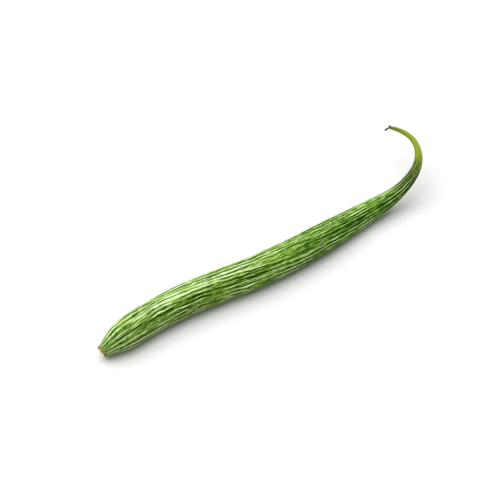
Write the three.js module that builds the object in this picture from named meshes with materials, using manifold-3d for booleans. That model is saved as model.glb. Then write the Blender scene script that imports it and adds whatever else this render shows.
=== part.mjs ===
// Snake gourd, one short striped fruit as picked, lying on a flat surface.
//
// Millimetres, +Z up. The gourd lies along X with its cut stalk at -X and its curled tail at +X.
// The origin is the centre of the gourd's box, at the height of the surface under it.
// Three pieces: the fruit with its tail, the stub of the stalk, and the withered flower on the tail's tip.

import * as THREE from 'three';
import Module from 'manifold-3d';
import * as BufferGeometryUtils from 'three/addons/utils/BufferGeometryUtils.js';

const manifoldLibrary = await Module();
manifoldLibrary.setup();

// ---------------------------------------------------------------- driving dimensions

// Stations along the fruit, from the stalk to the tip of the tail:
// plan position x and y, clearance between the underside and the surface, and the fruit's radius.
const STATIONS = [
  [-224.6, -16.2, 5.0, 6.3],
  [-215, -16.0, 2.8, 10.7],
  [-203.5, -15.3, 1.2, 14.2],
  [-188, -14.0, 0.1, 15.9],
  [-162, -12.6, 0, 16.5],
  [-126, -14.1, 0, 17.2],
  [-84, -19.8, 0, 17.4],
  [-38, -27.2, 0, 17.4],
  [8, -30.3, 0, 16.9],
  [54, -30.2, 0, 15.9],
  [92, -28.4, 0.2, 13.9],
  [120, -27.6, 2.0, 12.1],
  [145, -28.8, 6.8, 10.2],
  [166, -29.0, 13.8, 8.0],
  [184, -26.9, 21.5, 6.6],
  [198, -22.4, 28.2, 5.6],
  [210, -13.6, 33.5, 4.6],
  [218.9, -2.0, 37.1, 3.75],
  [224.3, 12, 39.4, 3.25],
  [224.7, 26, 40.4, 2.85],
  [221.3, 39, 40.6, 2.25],
  [219.3, 43.5, 40.6, 1.8],
];
const RINGS_PER_STATION = 3;
const SIDES = 32;

// The fruit's own weight presses its underside flat by this much.
const REST_FLATTENING = 0.35;

// Clear gap between two pieces that are grown on to each other.
const JOIN_GAP = 0.3;

// Stub of the stalk: its cut face is dished and its rim is bevelled.
const STUB_RADIUS = 6.3;
const STUB_LENGTH = 2.6;
const STUB_BEVEL = 0.5;
const STUB_DISH = 0.3;
const STUB_DISH_SPREAD = 0.7;

// Withered flower: how far its prong runs on from the tail, turns inwards and droops.
const PRONG_REACH = 4.7;
const PRONG_TURN = 4.4;
const PRONG_DROOP = 1.6;
// Stations along the prong: fraction of its length, and its radius there.
const PRONG_STATIONS = [
  [0, 1.7],
  [0.12, 1.3],
  [0.32, 0.8],
  [0.7, 0.8],
  [0.88, 0.9],
  [0.98, 0.55],
];
const PRONG_RINGS = 12;
const FLOWER_SIDES = 16;
// The nub sits beside the prong's root.
const NUB_RADIUS = 0.9;
const NUB_STRETCH = 1.2;
const NUB_OFFSET = 1.3;

// ---------------------------------------------------------------- materials

const fruitMaterial = new THREE.MeshStandardMaterial({ color: 0x7ba74c, roughness: 0.5, metalness: 0 });
const stubMaterial = new THREE.MeshStandardMaterial({ color: 0xd6c98c, roughness: 0.8, metalness: 0 });
const flowerMaterial = new THREE.MeshStandardMaterial({ color: 0x4a4422, roughness: 0.85, metalness: 0 });

// ---------------------------------------------------------------- fruit

// A point of the centreline is one radius above the underside, so the resting stretch touches the surface.
function makeSpine() {
  const points = STATIONS.map(([x, y, clearance, radius]) => new THREE.Vector3(x, y, clearance + radius));
  return new THREE.CatmullRomCurve3(points, false, 'centripetal');
}

// Distance along the spine at which each station lies.
function stationDistances(spine) {
  const stepsPerStation = 40;
  const lengths = spine.getLengths(stepsPerStation * (STATIONS.length - 1));
  return STATIONS.map((station, index) => lengths[index * stepsPerStation]);
}

// Half of the fruit's lengthwise section, closed on the axis at both ends.
function makeProfile(distances) {
  const outline = new THREE.SplineCurve(
    STATIONS.map(([x, y, clearance, radius], index) => new THREE.Vector2(radius, distances[index])),
  );
  const skin = outline.getPoints(RINGS_PER_STATION * (STATIONS.length - 1));
  const stalkEnd = new THREE.Vector2(0, skin[0].y);
  const tailEnd = new THREE.Vector2(0, skin[skin.length - 1].y);
  return [stalkEnd, ...skin, tailEnd];
}

// The curve's direction at fraction u of its length, with the level and the upright direction across it.
function crossAxes(curve, u) {
  const tangent = curve.getTangentAt(u);
  const side = new THREE.Vector3().crossVectors(tangent, new THREE.Vector3(0, 0, 1)).normalize();
  const above = new THREE.Vector3().crossVectors(side, tangent);
  return { tangent, side, above };
}

// Carries a straight body that stands along Y onto a curve. Local X turns to the side and local Z up,
// so that one line of corners runs along the underside.
function bendAlong(geometry, curve) {
  const length = curve.getLength();
  const position = geometry.attributes.position;
  const vertex = new THREE.Vector3();
  for (let i = 0; i < position.count; i += 1) {
    vertex.fromBufferAttribute(position, i);
    const u = THREE.MathUtils.clamp(vertex.y / length, 0, 1);
    const { side, above } = crossAxes(curve, u);
    const placed = curve.getPointAt(u).addScaledVector(side, vertex.x).addScaledVector(above, vertex.z);
    position.setXYZ(i, placed.x, placed.y, placed.z);
  }
  return geometry;
}

// Flattens the lowest strip of the underside, so that the fruit lies still.
function pressUnderside(geometry) {
  const position = geometry.attributes.position;
  for (let i = 0; i < position.count; i += 1) {
    position.setZ(i, Math.max(position.getZ(i), REST_FLATTENING));
  }
  return geometry;
}

function makeFruit(spine) {
  const profile = makeProfile(stationDistances(spine));
  const straight = new THREE.LatheGeometry(profile, SIDES);
  const fruit = new THREE.Mesh(pressUnderside(bendAlong(straight, spine)), fruitMaterial);
  fruit.name = 'fruit';
  return fruit;
}

// ---------------------------------------------------------------- stalk stub

// A short slice of stalk with a slightly dished cut face and a bevelled rim.
function makeStub(spine) {
  const profile = [
    new THREE.Vector2(0, STUB_DISH),
    new THREE.Vector2(STUB_RADIUS * STUB_DISH_SPREAD, STUB_DISH / 2),
    new THREE.Vector2(STUB_RADIUS - STUB_BEVEL, 0),
    new THREE.Vector2(STUB_RADIUS, STUB_BEVEL),
    new THREE.Vector2(STUB_RADIUS, STUB_LENGTH),
    new THREE.Vector2(0, STUB_LENGTH),
  ];
  const stub = new THREE.Mesh(new THREE.LatheGeometry(profile, SIDES), stubMaterial);
  const tangent = spine.getTangentAt(0);
  stub.name = 'stem_stub';
  stub.quaternion.setFromUnitVectors(new THREE.Vector3(0, 1, 0), tangent);
  stub.position.copy(spine.getPointAt(0)).addScaledVector(tangent, -STUB_LENGTH - JOIN_GAP);
  return stub;
}

// ---------------------------------------------------------------- withered flower

function toManifold(geometry) {
  const bare = geometry.clone();
  bare.deleteAttribute('normal');
  bare.deleteAttribute('uv');
  const merged = BufferGeometryUtils.mergeVertices(bare, 1e-4);
  return new manifoldLibrary.Manifold(new manifoldLibrary.Mesh({
    numProp: 3,
    vertProperties: merged.attributes.position.array,
    triVerts: new Uint32Array(merged.index.array),
  }));
}

function fromManifold(solid) {
  const mesh = solid.getMesh();
  const geometry = new THREE.BufferGeometry();
  geometry.setAttribute('position', new THREE.BufferAttribute(mesh.vertProperties, 3));
  geometry.setIndex(new THREE.BufferAttribute(mesh.triVerts, 1));
  geometry.computeVertexNormals();
  return geometry;
}

// A dried style that leaves the tip of the tail, curls on inwards, droops and ends in a rounded tip.
// Local Y runs on from the tail, local X points to the outer side of its curl, and local Z up.
function makeProng() {
  const curl = new THREE.QuadraticBezierCurve3(
    new THREE.Vector3(0, 0, 0),
    new THREE.Vector3(0, PRONG_REACH / 2, 0),
    new THREE.Vector3(-PRONG_TURN, PRONG_REACH, -PRONG_DROOP),
  );
  const length = curl.getLength();
  const outline = new THREE.SplineCurve(
    PRONG_STATIONS.map(([fraction, radius]) => new THREE.Vector2(radius, length * fraction)),
  );
  const root = new THREE.Vector2(0, 0);
  const tip = new THREE.Vector2(0, length);
  const profile = [root, ...outline.getPoints(PRONG_RINGS), tip];
  return bendAlong(new THREE.LatheGeometry(profile, FLOWER_SIDES), curl);
}

// The shrivelled base of the petals, a nub on the outer side of the prong's root.
function makeNub() {
  const nub = new THREE.SphereGeometry(NUB_RADIUS, FLOWER_SIDES, FLOWER_SIDES / 2);
  nub.scale(1, NUB_STRETCH, 1);
  nub.translate(NUB_OFFSET, NUB_RADIUS * NUB_STRETCH, 0);
  return nub;
}

function makeFlower(spine) {
  const joined = toManifold(makeProng()).add(toManifold(makeNub()));
  const flower = new THREE.Mesh(fromManifold(joined), flowerMaterial);
  const { tangent, side, above } = crossAxes(spine, 1);
  flower.name = 'flower_remnant';
  flower.quaternion.setFromRotationMatrix(new THREE.Matrix4().makeBasis(side, tangent, above));
  flower.position.copy(spine.getPointAt(1)).addScaledVector(tangent, JOIN_GAP);
  return flower;
}

// ---------------------------------------------------------------- whole gourd

const spine = makeSpine();
const gourd = new THREE.Group();
gourd.add(makeFruit(spine), makeStub(spine), makeFlower(spine));

// Moves the origin to the bottom centre of the gourd's box.
gourd.updateMatrixWorld(true);
const box = new THREE.Box3().setFromObject(gourd, true);
const centre = box.getCenter(new THREE.Vector3());
gourd.position.set(-centre.x, -centre.y, -box.min.z);

export default gourd;
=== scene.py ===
"""Looks of a snake gourd: streaked waxy skin, cut stalk stub and withered flower, on a plain pale floor.

All lengths are in metres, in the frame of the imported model. The gourd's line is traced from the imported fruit,
and every piece is a mesh grown along that line.
"""

import math

import bpy
import numpy as np
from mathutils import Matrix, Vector


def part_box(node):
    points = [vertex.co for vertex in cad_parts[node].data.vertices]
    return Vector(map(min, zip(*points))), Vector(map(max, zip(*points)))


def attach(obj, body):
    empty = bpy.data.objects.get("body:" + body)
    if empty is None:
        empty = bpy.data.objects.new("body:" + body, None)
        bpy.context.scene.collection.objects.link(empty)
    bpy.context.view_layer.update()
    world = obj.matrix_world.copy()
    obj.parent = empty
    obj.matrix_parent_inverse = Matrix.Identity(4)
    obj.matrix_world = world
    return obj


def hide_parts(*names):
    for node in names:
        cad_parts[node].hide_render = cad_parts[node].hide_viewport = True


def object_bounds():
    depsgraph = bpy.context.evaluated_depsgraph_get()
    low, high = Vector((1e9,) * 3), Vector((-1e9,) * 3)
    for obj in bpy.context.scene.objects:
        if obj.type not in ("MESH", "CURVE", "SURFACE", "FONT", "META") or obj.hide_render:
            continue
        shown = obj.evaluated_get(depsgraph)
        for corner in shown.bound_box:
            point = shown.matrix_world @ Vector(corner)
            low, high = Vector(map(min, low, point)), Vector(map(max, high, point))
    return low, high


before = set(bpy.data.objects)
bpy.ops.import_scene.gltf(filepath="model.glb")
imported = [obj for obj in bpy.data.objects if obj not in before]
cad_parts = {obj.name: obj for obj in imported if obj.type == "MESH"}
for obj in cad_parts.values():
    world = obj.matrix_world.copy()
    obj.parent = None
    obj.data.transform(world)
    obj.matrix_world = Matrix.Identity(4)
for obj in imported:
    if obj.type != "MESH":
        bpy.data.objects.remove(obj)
CAD_LOW, CAD_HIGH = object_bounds()

MM = 0.001
UP = np.array([0.0, 0.0, 1.0])

# Mesh of the skin: rings along the gourd and points round each ring.
SKIN_RINGS = 440
SKIN_SIDES = 220
# Seeds of the random patterns.
SKIN_SEED = 41
STUB_SEED = 7
FLOWER_SEED = 23


# ---------------------------------------------------------------- the gourd's line

def weld(mesh):
    """Points of a mesh with the doubled ones joined, and the pairs of points that its edges join."""
    points = np.array([v.co for v in mesh.vertices], float)
    cells = np.round(points / (0.01 * MM)).astype(int)
    _, first, index = np.unique(cells, axis=0, return_index=True, return_inverse=True)
    index = index.reshape(-1)
    edges = {tuple(sorted((index[a], index[b]))) for a, b in (e.vertices for e in mesh.edges)}
    return points[first], [e for e in edges if e[0] != e[1]]


def trace_rings(mesh, near):
    """Centres and radii of the rings of points that follow one another from the pole nearest to a point."""
    points, edges = weld(mesh)
    neighbours = [[] for _ in points]
    for a, b in edges:
        neighbours[a].append(b)
        neighbours[b].append(a)
    start = int(np.argmin(np.linalg.norm(points - near, axis=1)))
    seen = {start}
    front = [start]
    centres = []
    radii = []
    while front:
        if len(front) > 1:
            ring = points[front]
            centre = ring.mean(0)
            centres.append(centre)
            radii.append(np.linalg.norm(ring - centre, axis=1).mean())
        front = sorted({n for p in front for n in neighbours[p]} - seen)
        seen.update(front)
    return np.array(centres), np.array(radii)


def hermite(knots, values, at):
    """Smooth curve through values at knots, read at new places."""
    slopes = np.gradient(values, knots, axis=0)
    i = np.clip(np.searchsorted(knots, at) - 1, 0, len(knots) - 2)
    span = knots[i + 1] - knots[i]
    t = (at - knots[i]) / span
    if values.ndim > 1:
        t = t[:, None]
        span = span[:, None]
    t2 = t * t
    t3 = t2 * t
    return (
        (2 * t3 - 3 * t2 + 1) * values[i]
        + (t3 - 2 * t2 + t) * span * slopes[i]
        + (3 * t2 - 2 * t3) * values[i + 1]
        + (t3 - t2) * span * slopes[i + 1]
    )


class Line:
    """The gourd's centreline from the stalk to the tip of the tail, with its radius and cross directions."""

    def __init__(self):
        low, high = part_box("stem_stub")
        centres, radii = trace_rings(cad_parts["fruit"].data, np.array((low + high) / 2))
        steps = np.linalg.norm(np.diff(centres, axis=0), axis=1)
        self.knots = np.concatenate([[0.0], np.cumsum(steps)])
        self.centres = centres
        self.radii = radii
        self.length = self.knots[-1]

    def at(self, distances):
        """Centres, radii, and the forward, side and upper directions at distances along the line."""
        distances = np.asarray(distances, float)
        inside = np.clip(distances, 0, self.length)
        centre = hermite(self.knots, self.centres, inside)
        radius = hermite(self.knots, self.radii, inside)
        reach = 2 * MM
        before = hermite(self.knots, self.centres, np.clip(inside - reach, 0, self.length))
        after = hermite(self.knots, self.centres, np.clip(inside + reach, 0, self.length))
        forward = after - before
        forward /= np.linalg.norm(forward, axis=1)[:, None]
        side = np.cross(forward, UP)
        side /= np.linalg.norm(side, axis=1)[:, None]
        above = np.cross(side, forward)
        centre = centre + (distances - inside)[:, None] * forward
        return centre, radius, forward, side, above


line = Line()


# ---------------------------------------------------------------- mesh and noise helpers

def smoothstep(low, high, value):
    """Rises smoothly from 0 at low to 1 at high. It falls instead where low is the larger."""
    t = np.clip((value - low) / (high - low), 0, 1)
    return t * t * (3 - 2 * t)


def tube_mesh(name, rings, attributes=None, strips=1):
    """A closed tube from rings of points, shape (rings, sides, 3), capped at both ends.

    attributes are values per ring point. The UV map lays the tube out lengthwise in a number of strips.
    """
    count, sides = rings.shape[:2]
    ends = np.stack([rings[0].mean(0), rings[-1].mean(0)])
    points = np.concatenate([rings.reshape(-1, 3), ends])
    i, j = np.meshgrid(np.arange(count - 1), np.arange(sides), indexing="ij")
    k = (j + 1) % sides
    quads = np.stack([i * sides + j, i * sides + k, (i + 1) * sides + k, (i + 1) * sides + j], -1)
    around = np.arange(sides)
    following = (around + 1) % sides
    first_pole = count * sides
    last_pole = first_pole + 1
    last_ring = (count - 1) * sides
    caps = [(first_pole, b, a) for a, b in zip(around, following)]
    caps += [(last_pole, last_ring + a, last_ring + b) for a, b in zip(around, following)]
    faces = [tuple(q) for q in quads.reshape(-1, 4).tolist()] + [tuple(map(int, c)) for c in caps]
    mesh = bpy.data.meshes.new(name)
    mesh.from_pydata(points.tolist(), [], faces)
    mesh.polygons.foreach_set("use_smooth", [True] * len(faces))

    for key, values in (attributes or {}).items():
        flat = values.reshape(count * sides, -1)
        flat = np.concatenate([flat, flat[:1], flat[-1:]])
        kind, field = ("FLOAT_VECTOR", "vector") if flat.shape[1] == 3 else ("FLOAT", "value")
        layer = mesh.attributes.new(key, kind, "POINT")
        layer.data.foreach_set(field, flat.astype(np.float32).ravel())

    add_tube_uv(mesh, i, j, count, sides, strips)
    mesh.validate()
    mesh.update()
    piece = bpy.data.objects.new(name, mesh)
    bpy.context.scene.collection.objects.link(piece)
    return piece


def add_tube_uv(mesh, i, j, count, sides, strips):
    """Rows of the tube fill equal lengthwise strips, one above another, with a small margin."""
    margin = 0.004
    rows = math.ceil((count - 1) / strips)
    strip = i // rows
    start = (i - strip * rows) / rows
    end = (i + 1 - strip * rows) / rows
    low = j / sides
    high = (j + 1) / sides
    u = np.stack([start, start, end, end], -1)
    v = np.stack([low, high, high, low], -1)
    u = margin + u * (1 - 2 * margin)
    v = (strip[..., None] + margin * strips + v * (1 - 3 * margin * strips)) / strips
    quads = np.stack([u, v], -1).reshape(-1, 2)
    caps = np.zeros((2 * sides * 3, 2))
    caps[:, 0] = np.tile([0.0, margin / 2, margin / 2], 2 * sides)
    caps[:, 1] = np.tile([0.0, 0.0, margin / 2], 2 * sides)
    layer = mesh.uv_layers.new(name="OFBake")
    layer.data.foreach_set("uv", np.concatenate([quads, caps]).astype(np.float32).ravel())


def band_noise(rng, shape, length, waves, spread, grain):
    """Smooth random field on a tube, about zero with unit spread.

    shape is (rings, sides) and length the tube's. waves is the commonest number of waves round the tube and
    spread how far it varies; grain is the length over which the field changes along the tube.
    """
    count, sides = shape
    noise = np.fft.fft2(rng.standard_normal(shape))
    around = np.abs(np.fft.fftfreq(sides) * sides)[None, :]
    along = np.abs(np.fft.fftfreq(count) * count / length)[:, None]
    keep = np.exp(-(((around - waves) / spread) ** 2)) * np.exp(-((along * grain) ** 2) * 4)
    field = np.fft.ifft2(noise * keep).real
    return (field - field.mean()) / field.std()


def read_field(field, rows, columns):
    """Reads a tube field at fractional rows and wrapped fractional columns."""
    count, sides = field.shape
    rows = np.clip(rows, 0, count - 1.001)
    r0 = rows.astype(int)
    c0 = np.floor(columns).astype(int)
    fr = rows - r0
    fc = columns - c0
    a = field[r0, c0 % sides]
    b = field[r0, (c0 + 1) % sides]
    c = field[r0 + 1, c0 % sides]
    d = field[r0 + 1, (c0 + 1) % sides]
    return (a * (1 - fc) + b * fc) * (1 - fr) + (c * (1 - fc) + d * fc) * fr


# ---------------------------------------------------------------- material helpers

class Nodes:
    """A new material and short calls that add nodes to it."""

    def __init__(self, name):
        self.material = bpy.data.materials.new(name)
        self.material.use_nodes = True
        self.tree = self.material.node_tree
        self.shader = self.tree.nodes["Principled BSDF"]

    def node(self, kind, inputs=None, **settings):
        """Adds a node. Its inputs are fed from sockets or plain values."""
        node = self.tree.nodes.new(kind)
        for key, value in settings.items():
            setattr(node, key, value)
        for key, value in (inputs or {}).items():
            self.feed(node.inputs[key], value)
        return node

    def feed(self, socket, value):
        if isinstance(value, bpy.types.NodeSocket):
            self.tree.links.new(value, socket)
        else:
            socket.default_value = value

    def attribute(self, name, vector=False):
        node = self.node("ShaderNodeAttribute", attribute_name=name)
        return node.outputs["Vector" if vector else "Fac"]

    def stretch(self, vector, scale):
        return self.node("ShaderNodeMapping", {"Vector": vector, "Scale": scale}).outputs["Vector"]

    def noise(self, vector, scale, detail=3.0, roughness=0.5, distortion=0.0):
        inputs = {"Vector": vector, "Scale": scale, "Detail": detail,
                  "Roughness": roughness, "Distortion": distortion}
        return self.node("ShaderNodeTexNoise", inputs).outputs["Fac"]

    def math(self, operation, a, b=0.0, clamp=False):
        return self.node("ShaderNodeMath", {0: a, 1: b}, operation=operation, use_clamp=clamp).outputs[0]

    def around(self, value, middle, amount):
        """How far a value is from a middle, times an amount."""
        return self.math("MULTIPLY", self.math("SUBTRACT", value, middle), amount)

    def remap(self, value, low, high, to_low=0.0, to_high=1.0):
        inputs = {"Value": value, "From Min": low, "From Max": high, "To Min": to_low, "To Max": to_high}
        return self.node("ShaderNodeMapRange", inputs, interpolation_type="SMOOTHSTEP").outputs["Result"]

    def mix(self, factor, a, b, blend="MIX"):
        node = self.node("ShaderNodeMix", data_type="RGBA", blend_type=blend)
        self.feed(node.inputs["Factor"], factor)
        self.feed(node.inputs[6], a)
        self.feed(node.inputs[7], b)
        return node.outputs[2]

    def ramp(self, value, stops):
        node = self.node("ShaderNodeValToRGB", {"Fac": value})
        elements = node.color_ramp.elements
        while len(elements) < len(stops):
            elements.new(0.5)
        for element, (place, colour) in zip(elements, stops):
            element.position = place
            element.color = colour
        return node.outputs["Color"]

    def bump(self, height, strength, distance, normal=None):
        inputs = {"Height": height, "Strength": strength, "Distance": distance}
        node = self.node("ShaderNodeBump", inputs)
        if normal is not None:
            self.feed(node.inputs["Normal"], normal)
        return node.outputs["Normal"]


def srgb(red, green, blue):
    """A colour given as 0 to 255 display values, as the linear colour that nodes use."""
    def linear(value):
        value /= 255
        return value / 12.92 if value <= 0.04045 else ((value + 0.055) / 1.055) ** 2.4
    return (linear(red), linear(green), linear(blue), 1.0)


def grey(value):
    """A linear grey."""
    return (value, value, value, 1.0)


# ---------------------------------------------------------------- skin

def skin_fields(distances, shape):
    """Random fields that paint and wrinkle the skin.

    streak, fine and finest are streaks of three widths, and neck holds the broad ones of the stalk's end and
    the tail. dash makes short furrows, painted dark partly as the skin's own dark lines and partly as painted
    shade in the furrows; lobe makes broad bulges, tone paler and darker lengths, and sway bends the streaks.
    """
    rng = np.random.default_rng(SKIN_SEED)
    length = line.length
    fields = {
        "streak": band_noise(rng, shape, length, 25, 8, 30 * MM),
        "fine": band_noise(rng, shape, length, 50, 12, 16 * MM),
        "finest": band_noise(rng, shape, length, 84, 18, 6 * MM),
        "neck": band_noise(rng, shape, length, 15, 3.5, 60 * MM),
        "dash": band_noise(rng, shape, length, 34, 10, 7 * MM),
        "lobe": band_noise(rng, shape, length, 10, 2.5, 60 * MM),
        "tone": band_noise(rng, shape, length, 0, 5, 38 * MM),
        "sway": band_noise(rng, shape, length, 0, 12, 7 * MM),
    }
    # Streaks run longer where the fruit narrows, at the stalk and in the tail.
    stalk_end = smoothstep(50 * MM, 15 * MM, distances)
    tail_end = smoothstep(0.70, 0.85, distances / length)
    pace = 1 - 0.75 * stalk_end - 0.6 * tail_end
    travelled = np.cumsum(pace) - pace[0]
    rows = np.repeat(travelled[:, None], shape[1], axis=1)
    columns = np.repeat(np.arange(shape[1])[None, :], shape[0], axis=0).astype(float)
    calm = smoothstep(15 * MM, 70 * MM, distances)[:, None]
    sway = 0.6 * read_field(fields["sway"], rows, columns) * calm
    # Along the middle of the fruit the streaks wind slowly round it.
    wind = shape[1] * 0.1 * smoothstep(60 * MM, 330 * MM, distances)[:, None]
    for key in ("streak", "fine", "finest", "neck", "dash"):
        fields[key] = read_field(fields[key], rows, columns - wind + sway)
    fields["lobe"] = read_field(fields["lobe"], rows, columns)
    return fields


def patch(distances, angle, start, end, middle, width):
    """A long soft patch on the skin: where it starts and ends, and the angle from the top that it lies at."""
    rise = smoothstep(start - 25 * MM, start + 10 * MM, distances)
    fall = smoothstep(end + 30 * MM, end, distances)
    turn = (np.degrees(angle) - middle + 180) % 360 - 180
    return (rise * fall)[:, None] * np.exp(-((turn / width) ** 2))[None, :]


def streaks_with_painted_light(distances, angle, fields):
    """Pale wax where positive and deep green where negative, with the photo's pale and dark bands: the pale ones
    on the top are partly wax and partly painted highlight, and the darkening low on the side towards the camera
    is painted shade.

    The bands' angles are measured from the top, positive towards the camera's side.
    """
    neck = smoothstep(70 * MM, 20 * MM, distances)[:, None]
    tail = smoothstep(0.66, 0.78, distances / line.length)[:, None]
    streak = (
        (0.75 - 0.5 * neck - 0.1 * tail) * fields["streak"]
        + (1.25 * neck + 0.8 * tail) * fields["neck"]
        + (0.6 - 0.15 * neck - 0.1 * tail) * fields["fine"]
        + (0.5 - 0.25 * neck - 0.2 * tail) * fields["finest"]
        + 0.1 * fields["tone"]
        # Pale bands on the top, near the stalk end and along the middle: partly wax, partly painted highlight.
        + 0.8 * patch(distances, angle, 45 * MM, 175 * MM, 12, 14)
        + 0.25 * patch(distances, angle, 200 * MM, 330 * MM, 0, 22)
        - 0.65 * patch(distances, angle, 35 * MM, 180 * MM, 48, 11)
        - 0.4 * patch(distances, angle, 190 * MM, 330 * MM, 40, 14)
        # Painted shade: darker low on the side that faces the camera.
        - 0.35 * patch(distances, angle, 10 * MM, 400 * MM, 108, 22)
        # Paler band on the top where the tail begins: partly pale streaks, partly painted highlight.
        + 0.55 * patch(distances, angle, 345 * MM, 410 * MM, -25, 32)
        - 0.3 * patch(distances, angle, 300 * MM, 400 * MM, 60, 22)
        + 0.25 * neck
    )
    # The stretch where the tail begins has stronger lines.
    return streak * (1 + 0.3 * smoothstep(0.72, 0.80, distances / line.length)[:, None])


def skin_relief(distances, radius, streak, fields):
    """Height of the ridges, lobes and furrows above the skin's mean, lower where the gourd is thin."""
    fullness = smoothstep(0, 26 * MM, distances) * (1 - smoothstep(0.62, 0.86, distances / line.length))
    relief = plumpness(radius) * (
        0.26 * MM * np.tanh(1.2 * streak)
        + 0.1 * MM * np.tanh(fields["fine"])
        + 0.07 * MM * np.tanh(fields["finest"])
        + 0.32 * MM * np.tanh(0.8 * fields["lobe"]) * (0.3 + 0.7 * fullness[:, None])
        - 0.16 * MM * smoothstep(0.6, 2.0, fields["dash"])
    )
    return relief * smoothstep(-3 * MM, 8 * MM, distances)[:, None]


def plumpness(radius):
    """Share of the full relief that a ring of this radius carries."""
    return np.clip(radius / (15 * MM), 0.08, 1)[:, None]


def press_underside(rings):
    """Flattens the lowest part of the skin, and keeps all of it above the floor."""
    pressed = 0.12 * MM
    clear = 0.02 * MM
    rings[..., 2] = np.maximum(rings[..., 2], pressed + 0.25 * (rings[..., 2] - pressed))
    rings[..., 2] = np.maximum(rings[..., 2], clear)


def make_skin():
    """The whole outside of the gourd in one mesh, with the streaks as low ridges."""
    distances = np.linspace(0, line.length, SKIN_RINGS)
    centre, radius, _, side, above = line.at(distances)
    angle = 2 * np.pi * np.arange(SKIN_SIDES) / SKIN_SIDES + np.pi
    fields = skin_fields(distances, (SKIN_RINGS, SKIN_SIDES))
    streak = streaks_with_painted_light(distances, angle, fields)
    relief = skin_relief(distances, radius, streak, fields)
    reach = radius[:, None] + relief - 0.25 * MM * plumpness(radius)
    across = np.sin(angle)[None, :] * reach
    upward = np.cos(angle)[None, :] * reach
    rings = centre[:, None] + across[..., None] * side[:, None] + upward[..., None] * above[:, None]
    press_underside(rings)

    grown = np.stack([
        np.cos(angle)[None, :] * radius[:, None],
        np.sin(angle)[None, :] * radius[:, None],
        np.repeat(distances[:, None], SKIN_SIDES, axis=1),
    ], -1)
    along = np.repeat((distances / line.length)[:, None], SKIN_SIDES, axis=1)
    outward = np.repeat(np.sin(angle)[None, :], SKIN_RINGS, axis=0)
    attributes = {
        "grown": grown,
        "along": along,
        "outer": outward,
        # The streak values also hold the painted highlight on the top and the painted shade low on the camera's
        # side.
        "streak": streak,
        "dash": fields["dash"],
    }
    skin = tube_mesh("gourd_skin", rings, attributes, strips=2)
    skin.data.materials.append(skin_material())
    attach(skin, "root")
    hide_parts("fruit")


# How much wax covers the skin, along the gourd.
WAX_COVER = [
    (0.0, grey(0.49)), (0.1, grey(0.51)), (0.45, grey(0.51)),
    (0.55, grey(0.53)), (0.70, grey(0.48)), (0.79, grey(0.36)),
    (1.0, grey(0.3)),
]
# From deep green furrows to pale waxy ridges, the deepest and palest ends also carrying painted shade in the
# furrows
# and painted highlight on the ridges: one scale of colours for the front of the fruit, one for its middle and one
# for the dark start of the tail.
FRONT_COLOURS = [
    (0.14, srgb(10, 44, 0)), (0.33, srgb(34, 74, 0)), (0.46, srgb(88, 128, 4)),
    (0.58, srgb(132, 164, 64)), (0.72, srgb(178, 204, 132)), (0.92, srgb(216, 234, 190)),
]
MIDDLE_COLOURS = [
    (0.14, srgb(8, 42, 0)), (0.36, srgb(26, 68, 0)), (0.49, srgb(74, 120, 4)),
    (0.6, srgb(112, 154, 54)), (0.74, srgb(160, 196, 108)), (0.9, srgb(196, 222, 152)),
]
TAIL_START_COLOURS = [
    (0.14, srgb(8, 16, 0)), (0.36, srgb(22, 36, 0)), (0.5, srgb(48, 70, 2)),
    (0.62, srgb(78, 100, 30)), (0.78, srgb(118, 142, 68)), (0.95, srgb(158, 180, 110)),
]
# The smooth stretch of the tail, along the gourd.
SMOOTH_TAIL_COLOURS = [
    (0.84, srgb(84, 118, 18)), (0.9, srgb(140, 158, 38)), (0.95, srgb(172, 184, 56)),
    (1.0, srgb(106, 106, 26)),
]


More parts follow.
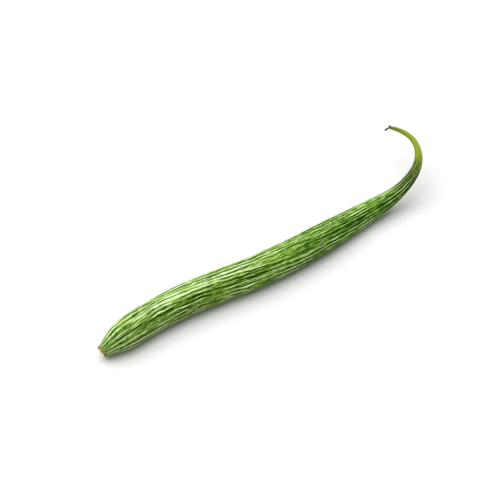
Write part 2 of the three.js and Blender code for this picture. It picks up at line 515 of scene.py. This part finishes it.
def skin_material():
    """Deep green skin under broken, pale, waxy streaks; the tail turns dark, then smooth yellow green."""
    n = Nodes("gourd_skin")
    grown = n.attribute("grown", vector=True)
    along = n.attribute("along")
    # streak carries the skin's streaks together with the painted highlight on the top and painted shade low on
    # the camera's side.
    streak = n.attribute("streak")
    dash = n.attribute("dash")
    outer = n.attribute("outer")

    fibre = n.noise(n.stretch(grown, (1, 1, 0.14)), 620, 4, 0.65, 0.5)
    mottle = n.noise(n.stretch(grown, (1, 1, 0.35)), 420, 3, 0.55, 0.3)
    speck = n.noise(grown, 2600, 2, 0.5)

    cover = n.ramp(along, WAX_COVER)
    level = n.math("ADD", n.math("MULTIPLY", streak, 0.22), n.around(fibre, 0.5, 1.3))
    level = n.math("ADD", level, cover)
    front = n.ramp(level, FRONT_COLOURS)
    middle = n.ramp(level, MIDDLE_COLOURS)
    dark = n.ramp(level, TAIL_START_COLOURS)
    body = n.mix(n.remap(along, 0.3, 0.56), front, middle)
    body = n.mix(n.remap(along, 0.74, 0.83), body, dark)
    # Short dark lines along the furrows: partly the skin's own dark green, partly painted shade in the furrows.
    furrow_lines_and_shade = n.remap(n.math("ADD", dash, n.around(fibre, 0.5, 2.0)), 0.8, 1.6)
    body = n.mix(n.math("MULTIPLY", furrow_lines_and_shade, 0.65), body, srgb(14, 52, 0))
    body = n.mix(n.math("MULTIPLY", n.remap(speck, 0.55, 0.8), 0.15), body, srgb(200, 224, 150))

    # The last stretch of the tail is smooth, and yellow green.
    bare = n.remap(n.math("ADD", along, n.around(fibre, 0.5, 0.12)), 0.815, 0.895)
    smooth = n.ramp(along, SMOOTH_TAIL_COLOURS)
    smooth = n.mix(n.math("MULTIPLY", n.remap(fibre, 0.35, 0.75), 0.5), smooth, srgb(98, 118, 14))
    lines = n.math("MULTIPLY", n.remap(streak, 0.1, -1.2), 0.6)
    smooth = n.mix(lines, smooth, srgb(84, 104, 14))
    lines = n.math("MULTIPLY", n.remap(streak, 0.4, 1.5), 0.5)
    smooth = n.mix(lines, smooth, srgb(178, 188, 84))
    edge = n.math("MULTIPLY", n.remap(outer, 0.35, 0.95), n.remap(along, 0.93, 0.985))
    smooth = n.mix(n.math("MULTIPLY", edge, 0.8), smooth, srgb(74, 66, 22))
    edge = n.math("MULTIPLY", n.remap(outer, -0.1, -0.9), n.remap(along, 0.86, 0.93))
    smooth = n.mix(n.math("MULTIPLY", edge, 0.5), smooth, srgb(92, 112, 12))
    colour = n.mix(bare, body, smooth)

    # Fresh green ring behind the stub.
    ring = n.math("MULTIPLY", n.remap(along, 0.032, 0.004), n.remap(streak, 1.6, 0.2))
    colour = n.mix(n.math("MULTIPLY", ring, 0.85), colour, srgb(76, 114, 6))

    n.feed(n.shader.inputs["Base Color"], colour)
    n.feed(n.shader.inputs["Roughness"], n.remap(mottle, 0.3, 0.7, 0.38, 0.52))
    n.shader.inputs["Specular IOR Level"].default_value = 0.06
    relief = n.math("ADD", n.math("MULTIPLY", level, 2.0), n.math("MULTIPLY", fibre, 0.8))
    normal = n.bump(relief, 0.55, 0.25 * MM)
    normal = n.bump(speck, 0.25, 0.05 * MM, normal)
    n.feed(n.shader.inputs["Normal"], normal)
    return n.material


# ---------------------------------------------------------------- cut stalk

STUB_LENGTH = 2.6 * MM
STUB_RINGS = 90
STUB_SIDES = 144
# From the root of the stub, inside the fruit, to the middle of its cut face:
# depth in front of the fruit's end, and share of the stub's radius.
STUB_OUTLINE = [
    (-0.8, 0.92), (-0.1, 1.0), (0.6, 1.025), (1.5, 1.0), (2.2, 1.0), (2.55, 0.985), (2.75, 0.95),
    (2.82, 0.9), (2.62, 0.86), (2.52, 0.8), (2.62, 0.7), (2.68, 0.55), (2.66, 0.42), (2.5, 0.34),
    (2.56, 0.26), (2.3, 0.16), (1.9, 0.08), (1.8, 0.02),
]


def make_stub():
    """A short stub of stalk with a dished cut face, grown out of the fruit's end."""
    low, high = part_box("stem_stub")
    reach = (high.y - low.y) / 2
    rng = np.random.default_rng(STUB_SEED)
    outline = np.array(STUB_OUTLINE)
    steps = np.arange(len(outline))
    fine = np.linspace(0, len(outline) - 1, STUB_RINGS)
    depth = hermite(steps, outline[:, 0], fine) * MM
    share = np.clip(hermite(steps, outline[:, 1], fine), 0.01, None)
    centre, _, forward, side, above = line.at(-depth)
    angle = 2 * np.pi * np.arange(STUB_SIDES) / STUB_SIDES + np.pi
    shape = (STUB_RINGS, STUB_SIDES)
    waves = band_noise(rng, shape, 20 * MM, 9, 6, 10 * MM)
    fibres = band_noise(rng, shape, 20 * MM, 26, 12, 4 * MM)
    wall = smoothstep(0.3, 0.95, share)[:, None]
    spread = share[:, None] * reach * (1 + 0.012 * waves * wall) + 0.04 * MM * fibres * wall
    across = np.sin(angle)[None, :] * spread
    upward = np.cos(angle)[None, :] * spread
    lift = -0.05 * MM * fibres - 0.06 * MM * waves
    face = smoothstep(2.3 * MM, 2.6 * MM, depth)[:, None]
    rings = (
        centre[:, None]
        + across[..., None] * side[:, None]
        + upward[..., None] * above[:, None]
        + (lift * face)[..., None] * forward[:, None]
    )
    everywhere = np.ones((1, STUB_SIDES))
    attributes = {
        "radial": share[:, None] * everywhere,
        "depth": np.clip(depth / STUB_LENGTH, 0, 1)[:, None] * everywhere,
        "face": (depth[:, None] > 2.3 * MM) * everywhere,
        "grown": np.stack([across, upward, np.repeat(depth[:, None], STUB_SIDES, axis=1)], -1),
    }
    stub = tube_mesh("cut_stalk", rings[::-1], {k: v[::-1] for k, v in attributes.items()})
    stub.data.materials.append(stub_material())
    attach(stub, "root")
    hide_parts("stem_stub")


# The cut face, from its middle to its rim.
CUT_FACE_COLOURS = [
    (0.0, srgb(96, 66, 30)), (0.14, srgb(138, 100, 50)), (0.28, srgb(190, 154, 92)),
    (0.34, srgb(240, 216, 152)), (0.76, srgb(248, 228, 168)), (0.84, srgb(196, 164, 96)),
    (0.9, srgb(104, 76, 32)), (0.97, srgb(66, 46, 18)),
]
# The side of the stub, from the fruit to the cut.
RIND_COLOURS = [
    (0.0, srgb(74, 112, 10)), (0.3, srgb(104, 136, 30)), (0.5, srgb(150, 150, 70)),
    (0.68, srgb(142, 112, 58)), (0.85, srgb(88, 64, 26)),
]


def stub_material():
    """Cream cut face with a corky ring and a darker pith, in a thin brown rim."""
    n = Nodes("cut_stalk")
    grown = n.attribute("grown", vector=True)
    radial = n.attribute("radial")
    face = n.attribute("face")
    coarse = n.noise(grown, 700, 3, 0.6)
    fine = n.noise(grown, 2600, 3, 0.6)
    wander = n.math("ADD", radial, n.around(coarse, 0.5, 0.16))
    cut = n.ramp(wander, CUT_FACE_COLOURS)
    cut = n.mix(n.math("MULTIPLY", n.remap(fine, 0.45, 0.75), 0.35), cut, srgb(196, 168, 104))
    depth = n.attribute("depth")
    edge = n.math("ADD", depth, n.around(coarse, 0.5, 0.5))
    rind = n.ramp(edge, RIND_COLOURS)
    colour = n.mix(face, rind, cut)
    n.feed(n.shader.inputs["Base Color"], colour)
    n.feed(n.shader.inputs["Roughness"], n.math("ADD", n.math("MULTIPLY", fine, 0.25), 0.62))
    n.shader.inputs["Specular IOR Level"].default_value = 0.3
    n.feed(n.shader.inputs["Normal"], n.bump(fine, 0.5, 0.1 * MM))
    return n.material


# ---------------------------------------------------------------- withered flower

# Prong of the flower: how far it runs on from the tail, turns inwards and droops.
PRONG_REACH = 5.5 * MM
PRONG_TURN = 5.7 * MM
PRONG_DROOP = 1.6 * MM
# Fraction of the prong's length, and its radius there.
PRONG_OUTLINE = [
    (0.0, 1.75), (0.1, 1.55), (0.22, 1.15), (0.35, 0.95), (0.55, 0.9), (0.72, 0.95), (0.86, 1.15),
    (0.95, 0.95), (1.0, 0.25),
]
PRONG_RINGS = 110
PRONG_SIDES = 56
# The prong's root, inside the tail: its rings, length and radius.
ROOT_RINGS = 8
ROOT_LENGTH = 0.8 * MM
ROOT_RADIUS = 1.62 * MM
# From olive straw at the root of the prong to black brown at its end.
PRONG_SHADES = [(0, 0.35), (0.12, 0.5), (0.3, 0.3), (0.62, 0.35), (0.8, 0.95), (1, 1)]
# The shrivelled base of the petals, a dark nub on the outer side, and two scraps of petal. For each, in mm,
# how far out, on and up from the tip of the tail it lies, and its radius; last, its length over its width.
NUBS = [(1.4, 1.9, 0.35, 1.15, 1.5), (0.5, 1.3, 1.25, 0.42, 1.8), (-0.9, 0.8, 1.0, 0.35, 1.6)]
NUB_RINGS = 34
NUB_SHADE = 0.95


def withered_tube(name, path, radius, shade, rng, wrinkle):
    """A shrivelled tube along a path of points, with lengthwise folds and a shade attribute."""
    count = len(path)
    forward = np.gradient(path, axis=0)
    forward /= np.linalg.norm(forward, axis=1)[:, None]
    side = np.cross(forward, UP)
    side /= np.linalg.norm(side, axis=1)[:, None]
    above = np.cross(side, forward)
    angle = 2 * np.pi * np.arange(PRONG_SIDES) / PRONG_SIDES
    shape = (count, PRONG_SIDES)
    folds = band_noise(rng, shape, 10 * MM, 7, 2.5, 4 * MM)
    crumple = band_noise(rng, shape, 10 * MM, 12, 6, 1.2 * MM)
    swell = radius[:, None] * (1 + wrinkle * (0.12 * folds + 0.07 * crumple))
    across = np.cos(angle)[None, :] * swell
    upward = np.sin(angle)[None, :] * swell
    rings = path[:, None] + across[..., None] * side[:, None] + upward[..., None] * above[:, None]
    lengthwise = np.repeat(np.linspace(0, 7 * MM, count)[:, None], PRONG_SIDES, axis=1)
    attributes = {
        "shade": shade[:, None] + 0.05 * folds,
        "grown": np.stack([across, upward, lengthwise], -1),
    }
    return tube_mesh(name, rings[:, ::-1], {k: v[:, ::-1] for k, v in attributes.items()})


def make_prong(rng, tail_end):
    """The dried style: it leaves the tip of the tail, curls on inwards and droops."""
    centre, forward, side, above = tail_end
    t = np.linspace(0, 1, PRONG_RINGS)[:, None]
    turn = centre + PRONG_REACH / 2 * forward
    tip = centre - PRONG_TURN * side + PRONG_REACH * forward - PRONG_DROOP * above
    path = (1 - t) ** 2 * centre + 2 * t * (1 - t) * turn + t * t * tip
    root = np.linspace(-ROOT_LENGTH, 0, ROOT_RINGS, endpoint=False)[:, None] * forward + centre
    path = np.concatenate([root, path])
    outline = np.array(PRONG_OUTLINE)
    width = np.interp(t[:, 0], outline[:, 0], outline[:, 1]) * MM
    width = np.concatenate([np.full(ROOT_RINGS, ROOT_RADIUS), width])
    smooth = np.convolve(np.pad(width, 3, mode="edge"), np.ones(7) / 7, mode="valid")
    smooth[-1] = 0.15 * MM
    shades = np.array(PRONG_SHADES)
    shade = np.interp(np.linspace(0, 1, len(path)), shades[:, 0], shades[:, 1])
    return withered_tube("dried_flower", path, smooth, shade, rng, wrinkle=0.8)


def make_nub(rng, tail_end, outward, onward, upward, size, stretch):
    """One shrivelled scrap of the petals' base, pointing on and away from the tail."""
    centre, forward, side, above = tail_end
    middle = centre + (outward * side + onward * forward + upward * above) * MM
    u = np.linspace(-1, 1, NUB_RINGS)
    direction = forward + 0.35 * (outward * side + upward * above) / max(abs(outward), abs(upward))
    direction /= np.linalg.norm(direction)
    path = middle + u[:, None] * direction * size * stretch * MM
    radius = np.maximum(np.sqrt(np.clip(1 - u * u, 0, 1)) * size, 0.04) * MM
    return withered_tube("nub", path, radius, np.full(NUB_RINGS, NUB_SHADE), rng, wrinkle=1.2)


def make_flower():
    """The prong and the nubs, joined in one piece."""
    rng = np.random.default_rng(FLOWER_SEED)
    centre, _, forward, side, above = (value[0] for value in line.at([line.length]))
    tail_end = (centre, forward, side, above)
    pieces = [make_prong(rng, tail_end)]
    pieces += [make_nub(rng, tail_end, *nub) for nub in NUBS]

    flower = pieces[0]
    with bpy.context.temp_override(
        active_object=flower, object=flower, selected_objects=pieces, selected_editable_objects=pieces
    ):
        bpy.ops.object.join()
    flower.data.materials.append(flower_material())
    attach(flower, "root")
    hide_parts("flower_remnant")


# From olive straw to black brown.
FLOWER_COLOURS = [
    (0.15, srgb(132, 138, 50)), (0.4, srgb(100, 98, 30)), (0.62, srgb(44, 34, 12)),
    (0.85, srgb(12, 9, 4)),
]


def flower_material():
    """Dried plant matter: pale olive straw that ends in black brown."""
    n = Nodes("dried_flower")
    grown = n.attribute("grown", vector=True)
    shade = n.attribute("shade")
    coarse = n.noise(n.stretch(grown, (1, 1, 0.3)), 1400, 3, 0.6)
    fine = n.noise(grown, 5200, 2, 0.5)
    level = n.math("ADD", shade, n.around(coarse, 0.5, 0.5))
    colour = n.ramp(level, FLOWER_COLOURS)
    colour = n.mix(n.math("MULTIPLY", n.remap(fine, 0.5, 0.8), 0.3), colour, srgb(70, 58, 28))
    n.feed(n.shader.inputs["Base Color"], colour)
    n.feed(n.shader.inputs["Roughness"], n.math("ADD", n.math("MULTIPLY", coarse, 0.2), 0.65))
    n.shader.inputs["Specular IOR Level"].default_value = 0.3
    n.feed(n.shader.inputs["Normal"], n.bump(fine, 0.5, 0.08 * MM))
    return n.material


# ---------------------------------------------------------------- floor, light and camera

FLOOR_HALF = 12.0
# The floor is a middle grey that the key light brings to white.
FLOOR_GREY = 0.66
ROOM_STRENGTH = 0.42
KEY_STRENGTH = 3.85
KEY_ANGLE = math.radians(75)
KEY_PLACE = (-0.3, 0.5, 2.0)
# Direction that the camera looks from, its distance and its lens in millimetres.
CAMERA_AZIMUTH = math.radians(-38)
CAMERA_ELEVATION = math.radians(44)
CAMERA_DISTANCE = 1.28
CAMERA_LENS = 85
CAMERA_SENSOR = 36
# Where it aims, in shares of the CAD's box: from the box's centre in X and Y, and from the floor in Z.
CAMERA_AIM = (-0.0498, 0.0342, 0.36)


def make_floor():
    """A plain pale floor."""
    half = FLOOR_HALF
    mesh = bpy.data.meshes.new("floor")
    corners = [(-half, -half, 0), (half, -half, 0), (half, half, 0), (-half, half, 0)]
    mesh.from_pydata(corners, [], [(0, 1, 2, 3)])
    floor = bpy.data.objects.new("floor", mesh)
    bpy.context.scene.collection.objects.link(floor)
    n = Nodes("floor")
    n.shader.inputs["Base Color"].default_value = grey(FLOOR_GREY)
    n.shader.inputs["Roughness"].default_value = 0.85
    n.shader.inputs["Specular IOR Level"].default_value = 0.2
    mesh.materials.append(n.material)


def place_facing(thing, place, target):
    """Puts a light or a camera at a place, looking at the target."""
    thing.location = place
    thing.rotation_euler = (Vector(target) - Vector(place)).to_track_quat("-Z", "Y").to_euler()
    bpy.context.scene.collection.objects.link(thing)


def make_lights():
    """A broad soft key from behind and above, to the left of the view, in an evenly lit white room."""
    world = bpy.data.worlds.new("studio")
    bpy.context.scene.world = world
    world.use_nodes = True
    background = world.node_tree.nodes["Background"]
    background.inputs["Color"].default_value = (1, 1, 1, 1)
    background.inputs["Strength"].default_value = ROOM_STRENGTH
    key = bpy.data.lights.new("key", "SUN")
    key.energy = KEY_STRENGTH
    key.angle = KEY_ANGLE
    place_facing(bpy.data.objects.new("key", key), KEY_PLACE, (0, 0, 0))


def make_camera():
    """Looks down on the gourd from the stalk end's side, with a long lens."""
    centre = (CAD_LOW + CAD_HIGH) / 2
    size = CAD_HIGH - CAD_LOW
    aim_x, aim_y, aim_z = CAMERA_AIM
    target = Vector((centre.x + aim_x * size.x, centre.y + aim_y * size.y, CAD_LOW.z + aim_z * size.z))
    back = Vector((
        math.sin(CAMERA_AZIMUTH) * math.cos(CAMERA_ELEVATION),
        -math.cos(CAMERA_AZIMUTH) * math.cos(CAMERA_ELEVATION),
        math.sin(CAMERA_ELEVATION),
    ))
    data = bpy.data.cameras.new("camera")
    data.lens = CAMERA_LENS
    data.sensor_width = CAMERA_SENSOR
    camera = bpy.data.objects.new("camera", data)
    place_facing(camera, target + CAMERA_DISTANCE * back, target)
    bpy.context.scene.camera = camera


make_skin()
make_stub()
make_flower()
make_floor()
make_lights()
make_camera()
bpy.context.scene.view_settings.view_transform = "Standard"
